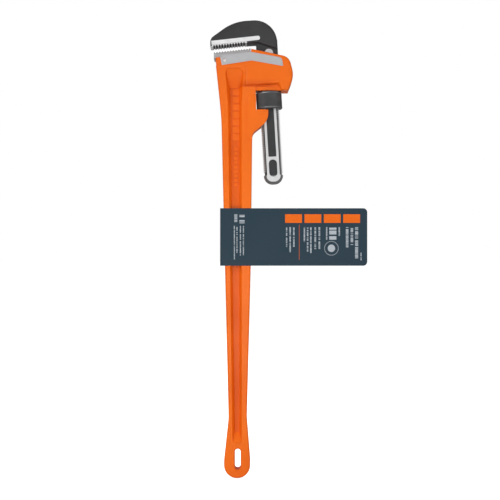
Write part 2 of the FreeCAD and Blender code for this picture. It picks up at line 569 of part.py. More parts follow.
# ---------------------------------------------------------------------------------------------------------
# Adjusting nut: a knurled ring with a right-hand internal thread, captive in the housing's window
# ---------------------------------------------------------------------------------------------------------
def make_adjusting_nut():
    body = new_body("adjusting_nut")
    play = size("thread_play")
    ring = sketch(body, "ring_outline", "XY_Plane", circle(0, 0, size("nut_wide") / 2))
    ring_pad = feature(body, "Pad", "ring", ring, {"Length": "Sizes.nut_tall"}, Midplane=True)
    rims = edges_where(ring_pad.Shape, lambda p, t: abs(abs(p.z) - nut_half) < 0.01)
    dress(body, "Chamfer", "rims", ring_pad, rims, "Size", "Sizes.nut_rim")
    bore = sketch(body, "bore_outline", "XY_Plane", circle(0, 0, root_radius + play))
    feature(body, "Pocket", "bore", bore, Midplane=True, Length=2 * size("nut_tall"))
    inner, outer = root_radius + play - 0.6, shank_half + play
    crest = size("thread_crest") / 2 + play
    foot = crest + (outer - inner) * math.tan(math.radians(size("thread_flank")))
    turns = math.ceil(nut_half / size("thread_pitch")) + 1
    groove = sketch(body, "thread_outline", "XZ_Plane", rounded([
        (inner, -foot), (outer, -crest), (outer, crest), (inner, foot)]), rise=-turns * size("thread_pitch"))
    feature(body, "SubtractiveHelix", "thread", groove, {
        "Pitch": "Sizes.thread_pitch", "Height": f"Sizes.thread_pitch * {2 * turns}"},
        ReferenceAxis=(groove, ["V_Axis"]), Mode=0)
    body.Placement = shank_frame
    return body


# ---------------------------------------------------------------------------------------------------------
# Springs in the housing: a flat spring bears on the back of the shank, a coil spring pushes it forward
# ---------------------------------------------------------------------------------------------------------
leaf_face = shank_half + size("leaf_gap")
leaf_back = leaf_face + size("leaf_thick")


def make_flat_spring():
    body = new_body("flat_spring")
    low, high, curl = size("leaf_low"), size("leaf_high"), 2.0
    leaf = sketch(body, "leaf_outline", "XZ_Plane", rounded([
        (leaf_face, low + 8, 20), (leaf_face, high - 8, 20), (leaf_face + curl, high),
        (leaf_back + curl, high - 0.5), (leaf_back, high - 8.3, 20), (leaf_back, low + 8.3, 20),
        (leaf_back + curl, low + 0.5), (leaf_face + curl, low)]))
    feature(body, "Pad", "leaf", leaf, {"Length": "Sizes.leaf_wide"}, Midplane=True)
    hole = sketch(body, "rivet_hole_outline", "YZ_Plane", circle(
        0, size("coil_rise"), size("rivet_wide") / 2))
    feature(body, "Pocket", "rivet_hole", hole, Midplane=True, Length=4 * shank_half)
    body.Placement = shank_frame
    return body


def make_spring_rivet():
    """Holds the coil spring on the flat spring: a stem through the leaf and a collar against its back."""
    stem = doc.addObject("Part::Cylinder", "rivet_stem")
    collar = doc.addObject("Part::Cylinder", "rivet_collar")
    stem.setExpression("Radius", "Sizes.rivet_wide / 2")
    stem.setExpression("Height", "Sizes.leaf_thick + 5")
    collar.setExpression("Radius", "Sizes.rivet_wide * 0.75")
    collar.Height = 1.0
    collar.setExpression("Placement.Base.z", "Sizes.leaf_thick")
    rivet = doc.addObject("Part::Fuse", "spring_rivet")
    rivet.Base, rivet.Tool = stem, collar
    rivet.Label = "spring_rivet"
    along = Placement(Vector(leaf_face, 0, size("coil_rise")), Rotation(ACROSS, 90))
    rivet.Placement = shank_frame.multiply(along)
    return rivet


def make_coil_spring():
    body = new_body("coil_spring")
    wire = size("coil_wire")
    start = shank_frame.multVec(Vector(leaf_back, 0, size("coil_rise"))).x + 0.5
    length = size("coil_seat") - start - wire
    section = sketch(body, "wire_outline", "XZ_Plane", circle((size("coil_wide") - wire) / 2, 0, wire / 2))
    feature(body, "AdditiveHelix", "turns", section, {"Turns": "Sizes.coil_turns"}, Mode=2, Height=length,
            ReferenceAxis=(section, ["V_Axis"]))
    body.Placement = Placement(Vector(start + wire / 2, 0, coil_place.z), Rotation(ACROSS, 90))
    return body


# ---------------------------------------------------------------------------------------------------------
# Card sleeve: a printed card folded round the handle, its two plies glued together into a flag
# ---------------------------------------------------------------------------------------------------------
def make_card_sleeve():
    body = new_body("card_sleeve")
    card = size("card_thick")
    inner = size("beam_deep") / 2 + 0.1
    outer = inner + card
    left, right = -size("card_left"), size("card_right")
    join, wrap = size("card_join"), size("card_wrap")
    outside = rounded([
        (left, -outer, 4), (right, -outer), (right, -outer + 2 * card), (join, -outer + 2 * card, 8),
        (wrap, outer, 10), (left, outer, 4)])
    inside = rounded([
        (left + card, -inner, 4 - card), (join - 0.6, -inner, 0.5), (wrap - 0.4, inner, 10 - card),
        (left + card, inner, 4 - card)])
    section = sketch(body, "section", "XY_Plane", outside, inside)
    sleeve = feature(body, "Pad", "sleeve", section, {"Length": "Sizes.card_tall"})
    corners = edges_where(sleeve.Shape, lambda p, t: abs(p.x - right) < 0.01 and abs(t.y) > 0.9)
    dress(body, "Fillet", "flag_corners", sleeve, corners, "Radius", "Sizes.card_round")
    body.Placement = Placement(Vector(0, 0, -size("card_top") - size("card_tall")), Rotation())
    return body


# ---------------------------------------------------------------------------------------------------------
# Build, check and write every sub-part
# ---------------------------------------------------------------------------------------------------------
MAKERS = [make_handle, make_heel_jaw, make_heel_jaw_pin, make_hook_jaw, make_adjusting_nut, make_flat_spring,
          make_spring_rivet, make_coil_spring, make_card_sleeve]
subparts = [make() for make in MAKERS]
doc.recompute()

for thing in doc.Objects:
    if "Invalid" in thing.State or "Error" in thing.State:
        raise RuntimeError(f"{thing.Name} failed: {thing.State}")
for subpart in subparts:
    if subpart.Shape.isNull() or not subpart.Shape.isValid() or len(subpart.Shape.Solids) != 1:
        raise RuntimeError(f"{subpart.Label} has no valid single solid")

os.makedirs("parts", exist_ok=True)
for subpart in subparts:
    subpart.Shape.exportStep(f"parts/{subpart.Label}.step")
    print(f"{subpart.Label}: {subpart.Shape.Volume / 1000:.1f} cm3")
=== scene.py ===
"""A heavy adjustable pipe wrench with a card sleeve round its handle, dressed for a studio still."""
import bmesh
import bpy
import json
import math
from mathutils import Matrix, Vector


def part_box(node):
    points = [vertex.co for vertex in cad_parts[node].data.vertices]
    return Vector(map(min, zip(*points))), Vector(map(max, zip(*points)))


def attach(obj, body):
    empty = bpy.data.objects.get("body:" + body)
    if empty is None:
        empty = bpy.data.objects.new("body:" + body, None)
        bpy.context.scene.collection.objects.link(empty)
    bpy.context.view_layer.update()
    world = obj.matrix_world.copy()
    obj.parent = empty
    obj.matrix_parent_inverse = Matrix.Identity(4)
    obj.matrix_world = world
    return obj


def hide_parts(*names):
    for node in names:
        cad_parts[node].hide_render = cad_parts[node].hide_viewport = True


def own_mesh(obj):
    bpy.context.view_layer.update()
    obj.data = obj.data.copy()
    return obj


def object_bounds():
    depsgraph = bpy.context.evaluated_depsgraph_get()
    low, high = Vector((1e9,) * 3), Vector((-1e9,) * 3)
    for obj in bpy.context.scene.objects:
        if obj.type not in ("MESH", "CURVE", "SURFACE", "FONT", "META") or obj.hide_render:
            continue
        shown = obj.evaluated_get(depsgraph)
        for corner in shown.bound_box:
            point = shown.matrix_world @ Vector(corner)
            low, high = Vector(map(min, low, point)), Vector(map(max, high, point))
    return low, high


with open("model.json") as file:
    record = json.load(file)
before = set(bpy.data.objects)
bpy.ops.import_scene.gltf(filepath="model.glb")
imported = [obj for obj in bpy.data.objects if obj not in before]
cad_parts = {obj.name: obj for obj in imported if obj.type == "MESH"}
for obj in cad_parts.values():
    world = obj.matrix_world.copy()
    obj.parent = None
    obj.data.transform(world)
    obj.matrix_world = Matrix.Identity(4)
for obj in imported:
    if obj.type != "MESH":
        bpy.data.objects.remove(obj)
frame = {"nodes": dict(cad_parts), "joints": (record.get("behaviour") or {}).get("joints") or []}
nodes = frame["nodes"]
joints = {joint["name"]: joint for joint in frame["joints"]}
cad_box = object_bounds()
MM = 0.001


# ==== Studio ====
# The wrench stands upright in front of a level camera, over a pale floor that runs out to a white
# surround. Soft boxes light it from the upper left, the right, above and behind.
lowest, highest = cad_box
middle = (lowest + highest) / 2
view_distance = 2.223
view_place = Vector((0.0456, -view_distance, -0.4692))
view_lens = 68.4

camera = bpy.data.objects.new("camera", bpy.data.cameras.new("camera"))
camera.data.lens = view_lens
camera.data.sensor_width = 36.0
camera.location = view_place
camera.rotation_euler = (math.radians(90), 0, 0)
bpy.context.scene.collection.objects.link(camera)
bpy.context.scene.camera = camera
bpy.context.scene.view_settings.view_transform = "Standard"


def node(tree, kind, values=None, **settings):
    """A shader node; values sets or links its input sockets, by name or by number."""
    made = tree.nodes.new(kind)
    for name, value in settings.items():
        setattr(made, name, value)
    for socket, value in (values or {}).items():
        if isinstance(value, bpy.types.NodeSocket):
            tree.links.new(value, made.inputs[socket])
        else:
            made.inputs[socket].default_value = value
    return made


def softbox(name, place, width, power, target=middle):
    """A square soft light aimed at the wrench."""
    lamp = bpy.data.objects.new(name, bpy.data.lights.new(name, "AREA"))
    lamp.data.size = width
    lamp.data.energy = power
    lamp.location = place
    lamp.rotation_euler = (target - lamp.location).to_track_quat("-Z", "Y").to_euler()
    bpy.context.scene.collection.objects.link(lamp)


softbox("key_light", Vector((-1.9, -2.4, 0.9)), 1.8, 47)
softbox("front_light", Vector((0.4, -3.4, 0.3)), 2.4, 19)
softbox("side_light", Vector((2.4, -1.4, 0.0)), 1.6, 15)
softbox("top_light", Vector((0.2, -0.5, 2.1)), 1.4, 12)
softbox("low_light", Vector((0.0, -1.3, -0.95)), 0.9, 8)
softbox("back_light", Vector((-0.8, 2.4, 1.7)), 2.0, 38)

surround = bpy.data.worlds.new("surround")
surround.use_nodes = True
bpy.context.scene.world = surround
sky = surround.node_tree
sky.nodes.clear()
seen = node(sky, "ShaderNodeLightPath")
room = node(sky, "ShaderNodeBackground", {"Color": (0.95, 0.97, 1.0, 1), "Strength": 0.20}).outputs[0]
white = node(sky, "ShaderNodeBackground", {"Color": (1, 1, 1, 1), "Strength": 1.0}).outputs[0]
mixed = node(sky, "ShaderNodeMixShader", {0: seen.outputs["Is Camera Ray"], 1: room, 2: white})
node(sky, "ShaderNodeOutputWorld", {"Surface": mixed.outputs[0]})

floor_mesh = bpy.data.meshes.new("floor")
shape = bmesh.new()
bmesh.ops.create_circle(shape, cap_ends=True, segments=96, radius=40.0)
bmesh.ops.translate(shape, verts=shape.verts, vec=(middle.x, 0, lowest.z - 2 * MM))
shape.to_mesh(floor_mesh)
shape.free()
floor = bpy.data.objects.new("floor", floor_mesh)
bpy.context.scene.collection.objects.link(floor)
pale = bpy.data.materials.new("pale_floor")
pale.use_nodes = True
pale.node_tree.nodes.clear()
seen = node(pale.node_tree, "ShaderNodeLightPath").outputs["Is Camera Ray"]
matt = node(pale.node_tree, "ShaderNodeBsdfDiffuse", {"Color": (0.85, 0.85, 0.85, 1)}).outputs[0]
glow = node(pale.node_tree, "ShaderNodeEmission", {"Color": (1, 1, 1, 1), "Strength": 0.92}).outputs[0]
lifted = node(pale.node_tree, "ShaderNodeAddShader", {0: matt, 1: glow}).outputs[0]
mixed = node(pale.node_tree, "ShaderNodeMixShader", {0: seen, 1: matt, 2: lifted}).outputs[0]
node(pale.node_tree, "ShaderNodeOutputMaterial", {"Surface": mixed})
floor.data.materials.append(pale)


# ==== Handle ====
# One ductile-iron casting: an I-beam shank with a rounded end and a thick housing for the jaws. It is
# sand cast, powder coated orange, and then ground bare on the low lands beside the heel jaw.
def calc(tree, operation, *terms):
    """The output of a Math node."""
    return node(tree, "ShaderNodeMath", dict(enumerate(terms)), operation=operation).outputs[0]


def rise(tree, value, low, high):
    """0 below low, 1 above high and smooth between."""
    ranged = node(tree, "ShaderNodeMapRange", {"Value": value, "From Min": low, "From Max": high},
                  interpolation_type="SMOOTHSTEP")
    return ranged.outputs[0]


def blend(tree, share, first, second):
    """Colour mixed from first to second by share."""
    mix = node(tree, "ShaderNodeMix", {0: share, 6: first, 7: second}, data_type="RGBA")
    return mix.outputs[2]


def spread(tree, share, first, second):
    """Number mixed from first to second by share."""
    mix = node(tree, "ShaderNodeMix", {0: share, 2: first, 3: second}, data_type="FLOAT")
    return mix.outputs[0]


def effect(name, inputs, outputs):
    """An empty node group with a vector input named Place, number inputs and number outputs."""
    tree = bpy.data.node_groups.new(name, "ShaderNodeTree")
    tree.interface.new_socket("Place", in_out="INPUT", socket_type="NodeSocketVector")
    for label, value in inputs.items():
        socket = tree.interface.new_socket(label, in_out="INPUT", socket_type="NodeSocketFloat")
        socket.default_value = value
    for label in outputs:
        tree.interface.new_socket(label, in_out="OUTPUT", socket_type="NodeSocketFloat")
    return tree, node(tree, "NodeGroupInput").outputs


def place_effect(tree, effect_tree, place, **values):
    """An effect group placed in a material, with its inputs set by name."""
    made = node(tree, "ShaderNodeGroup", node_tree=effect_tree)
    tree.links.new(place, made.inputs["Place"])
    for label, value in values.items():
        made.inputs[label.capitalize()].default_value = value
    return made.outputs


# Skin of a cast or forged face: fine grain over soft lumps, and a slow drift of tone
skin, given = effect("cast_skin", {"Grain": 900.0, "Lumps": 90.0, "Drift": 9.0}, ["Height", "Tone"])
grain, lumps, drift = [
    node(skin, "ShaderNodeTexNoise", {"Vector": given["Place"], "Scale": given[label], "Detail": detail})
    for label, detail in (("Grain", 3.0), ("Lumps", 2.0), ("Drift", 5.0))]
node(skin, "NodeGroupOutput", {"Height": spread(skin, 0.6, grain.outputs[0], lumps.outputs[0]),
                               "Tone": rise(skin, drift.outputs[0], 0.36, 0.66)})

# Marks of a grinding belt that ran along the first axis of Place
grinding, given = effect("grind_marks", {"Fineness": 1500.0, "Streak": 45.0}, ["Height", "Tone"])
belt_run_and_shade_band = node(grinding, "ShaderNodeVectorMath", {0: given["Place"], 1: (0.035, 1.0, 1.0)},
           operation="MULTIPLY").outputs[0]
marks = node(grinding, "ShaderNodeTexNoise", {"Vector": belt_run_and_shade_band, "Scale": given["Fineness"], "Detail": 4.0})
wipe = node(grinding, "ShaderNodeTexNoise",
            {"Vector": given["Place"], "Scale": given["Streak"], "Detail": 3.0})
node(grinding, "NodeGroupOutput", {"Height": marks.outputs[0],
                                   "Tone": spread(grinding, 0.4, marks.outputs[0], wipe.outputs[0])})


def new_finish(name):
    """A material with an empty tree, the object's coordinates and their X, Y, Z and |Y|."""
    made = bpy.data.materials.new(name)
    made.use_nodes = True
    tree = made.node_tree
    tree.nodes.clear()
    place = node(tree, "ShaderNodeTexCoord").outputs["Object"]
    split = node(tree, "ShaderNodeSeparateXYZ", {0: place}).outputs
    return made, tree, place, split, calc(tree, "ABSOLUTE", split[1])


def close_finish(tree, values, height, depth):
    """The Principled shader and the output, with a bump of that depth in metres."""
    bump = node(tree, "ShaderNodeBump", {"Height": height, "Distance": depth, "Strength": 1.0})
    surface = node(tree, "ShaderNodeBsdfPrincipled", {**values, "Normal": bump.outputs[0]})
    node(tree, "ShaderNodeOutputMaterial", {"Surface": surface.outputs[0]})
    return surface


def dress(target, finish):
    target.data.materials.clear()
    target.data.materials.append(finish)


paint_bright = (0.80, 0.142, 0.004, 1)
# Deeper orange, used for the paint's random drift of tone and for the painted shade on the sunk web
paint_deep_and_shade = (0.66, 0.094, 0.003, 1)
# Deep red-orange of the painted shade under the housing
painted_shade_orange = (0.56, 0.058, 0.002, 1)
# The painted shade band starts at the housing's underside and rises this far
under_housing, shade_band_tall = -90.0 * MM, 20.0 * MM
ground_light, ground_dark = (0.50, 0.50, 0.51, 1), (0.33, 0.33, 0.34, 1)
land_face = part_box("handle")[1].y
bare_from = land_face - 0.5 * MM
web_face = 4.5 * MM

casting, tree, place, (across, _, up), side = new_finish("painted_casting")
iron = place_effect(tree, skin, place, grain=1100.0, lumps=140.0, drift=7.0)
belt = place_effect(tree, grinding, place, fineness=1400.0)
bare = rise(tree, side, bare_from - 0.1 * MM, bare_from + 0.1 * MM)
# Painted shade: the sunk web between the flanges is tinted halfway towards the deeper orange
painted_recess_shade = calc(tree, "SUBTRACT", 1.0, rise(tree, side, web_face + 0.3 * MM, web_face + 1.0 * MM))
tone_and_recess_shade = calc(tree, "ADD", calc(tree, "MULTIPLY", painted_recess_shade, 0.5), calc(tree, "MULTIPLY", iron["Tone"], 0.35))
coat = blend(tree, tone_and_recess_shade, paint_bright, paint_deep_and_shade)
# Painted shade: a deeper, redder orange in a soft band above the housing's lower edge, standing in for the
# shade under the housing
belt_run_and_shade_band = calc(tree, "SUBTRACT", 1.0, rise(tree, up, under_housing, under_housing + shade_band_tall))
belt_run_and_shade_band = calc(tree, "MULTIPLY", belt_run_and_shade_band, rise(tree, up, under_housing - 1.5 * MM, under_housing - 0.5 * MM))
belt_run_and_shade_band = calc(tree, "MULTIPLY", belt_run_and_shade_band, rise(tree, across, 16.0 * MM, 24.0 * MM))
belt_run_and_shade_band = calc(tree, "MULTIPLY", belt_run_and_shade_band, calc(tree, "SUBTRACT", 1.0, rise(tree, across, 84.0 * MM, 112.0 * MM)))
coat = blend(tree, calc(tree, "MULTIPLY", belt_run_and_shade_band, 0.65), coat, painted_shade_orange)
steel = blend(tree, belt["Tone"], ground_dark, ground_light)
parting = calc(tree, "SUBTRACT", 1.0, rise(tree, side, 0.3 * MM, 0.9 * MM))
relief = calc(tree, "ADD", iron["Height"], calc(tree, "MULTIPLY", parting, 0.9))
close_finish(tree, {
    "Base Color": blend(tree, bare, coat, steel),
    "Metallic": calc(tree, "MULTIPLY", bare, 0.45),
    "Roughness": spread(tree, bare, spread(tree, iron["Tone"], 0.34, 0.46),
                        spread(tree, belt["Tone"], 0.32, 0.48)),
    "Coat Weight": calc(tree, "MULTIPLY", calc(tree, "SUBTRACT", 1.0, bare), 0.06),
    "Coat Roughness": 0.2,
    "Specular IOR Level": 0.14,
}, spread(tree, bare, relief, belt["Height"]), 0.22 * MM)
dress(nodes["handle"], casting)

# Blank raised pads cast on both faces of the web, where a maker would put the casting's marks
pad_proud = 1.1 * MM
pad_line = 12.9 * MM
shape = bmesh.new()
for count, wide, tall, step, first in ((7, 16.0 * MM, 14.5 * MM, 17.5 * MM, -101.5 * MM),
                                       (9, 9.0 * MM, 7.5 * MM, 10.4 * MM, -234.0 * MM)):
    for number in range(count):
        for face_y in (-web_face, web_face):
            centre = Matrix.Translation((pad_line, face_y, first - number * step))
            extent = Matrix.Diagonal((wide, 2 * pad_proud, tall, 1))
            bmesh.ops.create_cube(shape, size=1.0, matrix=centre @ extent)
corners = [edge for edge in shape.edges if abs(edge.verts[0].co.y - edge.verts[1].co.y) > pad_proud]
bmesh.ops.bevel(shape, geom=corners, offset=1.8 * MM, offset_type="OFFSET", segments=5, profile=0.5,
                affect="EDGES", material=-1)
tops = [edge for edge in shape.edges
        if all(abs(vert.co.y) > web_face + 0.5 * pad_proud for vert in edge.verts)]
bmesh.ops.bevel(shape, geom=tops, offset=0.7 * MM, offset_type="OFFSET", segments=3, profile=0.5,
                affect="EDGES", material=-1)
pads = bpy.data.objects.new("casting_pads", bpy.data.meshes.new("casting_pads"))
shape.to_mesh(pads.data)
shape.free()
bpy.context.scene.collection.objects.link(pads)
dress(pads, casting)
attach(pads, "handle")


# ==== Heel jaw ====
# A hardened alloy-steel block with milled teeth, ground on its sides and let into the housing. Its
# gullets keep a dark film from hardening.
tooth_slope = math.radians(6.2)
tip_drop = 7.04 * MM
tooth_depth = 3.0 * MM


def tooth_height(tree, split, tip_level):
    """Height over the line of tooth tips that crosses the middle of the mouth at tip_level."""
    above = calc(tree, "MULTIPLY", calc(tree, "SUBTRACT", split[2], tip_level), math.cos(tooth_slope))
    return calc(tree, "SUBTRACT", above, calc(tree, "MULTIPLY", split[0], math.sin(tooth_slope)))


block, tree, place, split, side = new_finish("ground_tool_steel")
belt = place_effect(tree, grinding, place, fineness=1300.0, streak=60.0)
height = tooth_height(tree, split, -tip_drop)
gullet = calc(tree, "SUBTRACT", 1.0, rise(tree, height, -0.9 * tooth_depth, -0.1 * tooth_depth))
on_teeth = rise(tree, height, -1.04 * tooth_depth, -1.0 * tooth_depth)
film = calc(tree, "MULTIPLY", gullet, on_teeth)
steel = blend(tree, belt["Tone"], (0.26, 0.26, 0.265, 1), (0.46, 0.46, 0.465, 1))
close_finish(tree, {
    "Base Color": blend(tree, calc(tree, "MULTIPLY", film, 0.75), steel, (0.09, 0.09, 0.09, 1)),
    "Metallic": 0.5,
    "Roughness": spread(tree, belt["Tone"], 0.34, 0.52),
}, belt["Height"], 0.15 * MM)
dress(nodes["heel_jaw"], block)


# ==== Heel jaw pin and spring rivet ====
# Two turned pieces of bright steel: the pin is driven across the housing through the heel jaw's tang,
# and the rivet holds the coil spring on the flat spring.
turned_bar, tree, place, split, side = new_finish("bright_turned_steel")
haze = place_effect(tree, skin, place, grain=1600.0, lumps=400.0, drift=60.0)
close_finish(tree, {
    "Base Color": blend(tree, haze["Tone"], (0.62, 0.62, 0.62, 1), (0.78, 0.77, 0.76, 1)),
    "Metallic": 0.6,
    "Roughness": spread(tree, haze["Tone"], 0.24, 0.4),
}, haze["Height"], 0.05 * MM)
dress(nodes["heel_jaw_pin"], turned_bar)
dress(nodes["spring_rivet"], turned_bar)


# ==== Hook jaw ====
# A drop forging in alloy steel with a dark oxide. The band over the teeth, the teeth, the sides of the
# shank and the thread crests are ground or milled bright; the long recess and the oval stay dark.
nut_place = Vector(joints["nut_spin"]["pos_m"])
nut_axis = Vector(joints["nut_spin"]["axis"]).normalized()
lean = math.atan2(nut_axis.x, nut_axis.z)
hook_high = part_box("hook_jaw")[1]
band_face = hook_high.y - 0.5 * MM
shank_side = 13.5 * MM
root_radius, crest_radius = 19.9 * MM, 22.5 * MM
thread_top, thread_bottom = 40.0 * MM, -174.0 * MM
arch_top = 121.0 * MM
head_face = 22.0 * MM
last_tooth = 38.5 * MM
lowest_tooth = -10.0 * MM

forging, tree, place, split, side = new_finish("oxided_forging")
scale = place_effect(tree, skin, place, grain=1000.0, lumps=170.0, drift=14.0)
belt = place_effect(tree, grinding, place, fineness=1500.0, streak=70.0)
local = node(tree, "ShaderNodeMapping", {"Vector": place, "Location": nut_place, "Rotation": (0, lean, 0)},
             vector_type="TEXTURE").outputs[0]
local_split = node(tree, "ShaderNodeSeparateXYZ", {0: local}).outputs
turned = node(tree, "ShaderNodeVectorRotate", {"Vector": local, "Angle": math.radians(90)},
              rotation_type="Y_AXIS").outputs[0]
rail_belt = place_effect(tree, grinding, turned, fineness=1500.0, streak=70.0)
below_head = calc(tree, "LESS_THAN", local_split[2], arch_top)
rail = calc(tree, "MULTIPLY", calc(tree, "COMPARE", side, shank_side, 0.25 * MM), below_head)
radius = calc(tree, "SQRT", calc(tree, "ADD", calc(tree, "MULTIPLY", local_split[0], local_split[0]),
                                 calc(tree, "MULTIPLY", local_split[1], local_split[1])))
crest = rise(tree, radius, root_radius + 0.4 * MM, crest_radius - 0.5 * MM)
threaded = calc(tree, "MULTIPLY", rise(tree, local_split[2], thread_bottom - 1 * MM, thread_bottom),
                calc(tree, "SUBTRACT", 1.0, rise(tree, local_split[2], thread_top, thread_top + 1 * MM)))
thread = calc(tree, "MULTIPLY", crest, threaded)
height = tooth_height(tree, split, tip_drop)
tips = calc(tree, "SUBTRACT", 1.0, rise(tree, height, 0.1 * tooth_depth, 0.35 * tooth_depth))
flanks = calc(tree, "MULTIPLY", rise(tree, side, head_face - 0.2 * MM, head_face - 0.1 * MM),
              calc(tree, "LESS_THAN", height, tooth_depth))
toothed = calc(tree, "MULTIPLY", calc(tree, "MAXIMUM", tips, flanks),
               calc(tree, "GREATER_THAN", split[2], lowest_tooth))
toothed = calc(tree, "MULTIPLY", toothed, calc(tree, "LESS_THAN", split[0], last_tooth))
band = rise(tree, side, band_face - 0.1 * MM, band_face + 0.1 * MM)
below_thread = calc(tree, "LESS_THAN", local_split[2], thread_bottom)
turned_end = calc(tree, "MULTIPLY", below_thread, calc(tree, "LESS_THAN", side, shank_side - 0.3 * MM))
bright = calc(tree, "MAXIMUM", calc(tree, "MAXIMUM", rail, calc(tree, "MULTIPLY", thread, 0.95)),
              calc(tree, "MAXIMUM", toothed, band))
bright = calc(tree, "MAXIMUM", bright, calc(tree, "MULTIPLY", turned_end, 0.14))
mark_tone = spread(tree, rail, belt["Tone"], rail_belt["Tone"])
steel = blend(tree, mark_tone, spread(tree, rail, 0.52, 0.38), spread(tree, rail, 0.88, 0.72))
oxide = blend(tree, scale["Tone"], (0.017, 0.017, 0.018, 1), (0.030, 0.030, 0.031, 1))
close_finish(tree, {
    "Base Color": blend(tree, bright, oxide, steel),
    "Metallic": spread(tree, bright, 0.1, 0.45),
    "Roughness": spread(tree, bright, spread(tree, scale["Tone"], 0.42, 0.56),
                        spread(tree, mark_tone, 0.34, 0.5)),
    "Specular IOR Level": 0.4,
}, spread(tree, bright, scale["Height"],
          spread(tree, rail, belt["Height"], rail_belt["Height"])), 0.16 * MM)
dress(nodes["hook_jaw"], forging)


# ==== Adjusting nut ====
# A turned ring with a right-hand thread inside and a diamond knurl rolled into its rim, oxided dark.
# The knurl's points are rubbed brighter by handling.
nut_radius = 30.0 * MM
nut_half = 20.0 * MM
rim_bevel = 2.0 * MM
knurl_deep = 0.6 * MM
knurl_columns = 152
knurl_rows = 28
plain_band = 1.6 * MM
nut_frame = Matrix.Translation(nut_place) @ Matrix.Rotation(lean, 4, "Y")

shape = bmesh.new()
shape.from_mesh(nodes["adjusting_nut"].data)
bmesh.ops.transform(shape, matrix=nut_frame.inverted(), verts=shape.verts)
bmesh.ops.remove_doubles(shape, verts=shape.verts, dist=0.001 * MM)
wall = [face for face in shape.faces if all(
    v.co.xy.length > nut_radius - 0.1 * MM and abs(v.co.z) < nut_half - 0.5 * rim_bevel for v in face.verts)]
bmesh.ops.delete(shape, geom=wall, context="FACES")
rims = [edge for edge in shape.edges if edge.is_boundary]

first = bmesh.ops.create_circle(shape, segments=knurl_columns, radius=nut_radius)["verts"]
row_low = -nut_half + rim_bevel + plain_band
row_step = (2 * abs(row_low)) / knurl_rows
for vert in first:
    vert.co.z = row_low
row = list({edge for vert in first for edge in vert.link_edges})
foot = list(row)
for level in range(knurl_rows):
    pulled = bmesh.ops.extrude_edge_only(shape, edges=row)["geom"]
    raised = [part for part in pulled if isinstance(part, bmesh.types.BMVert)]
    bmesh.ops.translate(shape, verts=raised, vec=(0, 0, row_step))
    row = [part for part in pulled if isinstance(part, bmesh.types.BMEdge)
           and all(vert in raised for vert in part.verts)]
    for vert in raised:
        column = round(math.atan2(vert.co.y, vert.co.x) / (2 * math.pi) * knurl_columns)
        sunken = (column + level) % 2 and level < knurl_rows - 1
        vert.co.xy = vert.co.xy.normalized() * (nut_radius - knurl_deep * sunken)
knurl = [face for face in shape.faces if len(face.verts) == 4
         and all(v.co.xy.length > nut_radius - 2 * knurl_deep for v in face.verts)]
bmesh.ops.triangulate(shape, faces=knurl, quad_method="SHORT_EDGE")
low_rim = [edge for edge in rims if edge.verts[0].co.z < 0]
high_rim = [edge for edge in rims if edge.verts[0].co.z > 0]
bmesh.ops.bridge_loops(shape, edges=low_rim + foot)
bmesh.ops.bridge_loops(shape, edges=high_rim + row)
bmesh.ops.recalc_face_normals(shape, faces=shape.faces)
bmesh.ops.transform(shape, matrix=nut_frame, verts=shape.verts)
knurled = bpy.data.objects.new("knurled_nut", bpy.data.meshes.new("knurled_nut"))
shape.to_mesh(knurled.data)
shape.free()
bpy.context.scene.collection.objects.link(knurled)

turned_steel, tree, place, split, side = new_finish("knurled_oxide")
local = node(tree, "ShaderNodeMapping", {"Vector": place, "Location": nut_place, "Rotation": (0, lean, 0)},
             vector_type="TEXTURE").outputs[0]
local_split = node(tree, "ShaderNodeSeparateXYZ", {0: local}).outputs
radius = calc(tree, "SQRT", calc(tree, "ADD", calc(tree, "MULTIPLY", local_split[0], local_split[0]),
                                 calc(tree, "MULTIPLY", local_split[1], local_split[1])))
haze = place_effect(tree, skin, place, grain=1500.0, lumps=300.0, drift=50.0)
point = rise(tree, radius, nut_radius - 0.5 * knurl_deep, nut_radius)
rub = calc(tree, "MULTIPLY", point, spread(tree, haze["Tone"], 0.35, 0.9))
streaks = place_effect(tree, grinding, local, fineness=420.0, streak=60.0)
oxide = blend(tree, streaks["Tone"], (0.028, 0.028, 0.029, 1), (0.095, 0.095, 0.096, 1))
close_finish(tree, {
    "Base Color": blend(tree, rub, oxide, (0.20, 0.20, 0.20, 1)),
    "Metallic": spread(tree, rub, 0.3, 0.8),
    "Roughness": spread(tree, rub, 0.46, 0.34),
}, haze["Height"], 0.08 * MM)
dress(knurled, turned_steel)
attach(knurled, "nut")
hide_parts("adjusting_nut")


# ==== Springs ====
# A blued flat spring bears on the back of the shank, and a coil spring behind it pushes the hook jaw
# forward. The coil's far end sits in a bore in the housing.
coil_low, coil_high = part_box("coil_spring")
wire = 1.8 * MM
coil_radius = (coil_high.y - coil_low.y - wire) / 2
coil_turns = 6.0
steps_per_turn = 28
coil_centre = Vector(((coil_low.x + wire / 2), 0, (coil_low.z + coil_high.z) / 2))

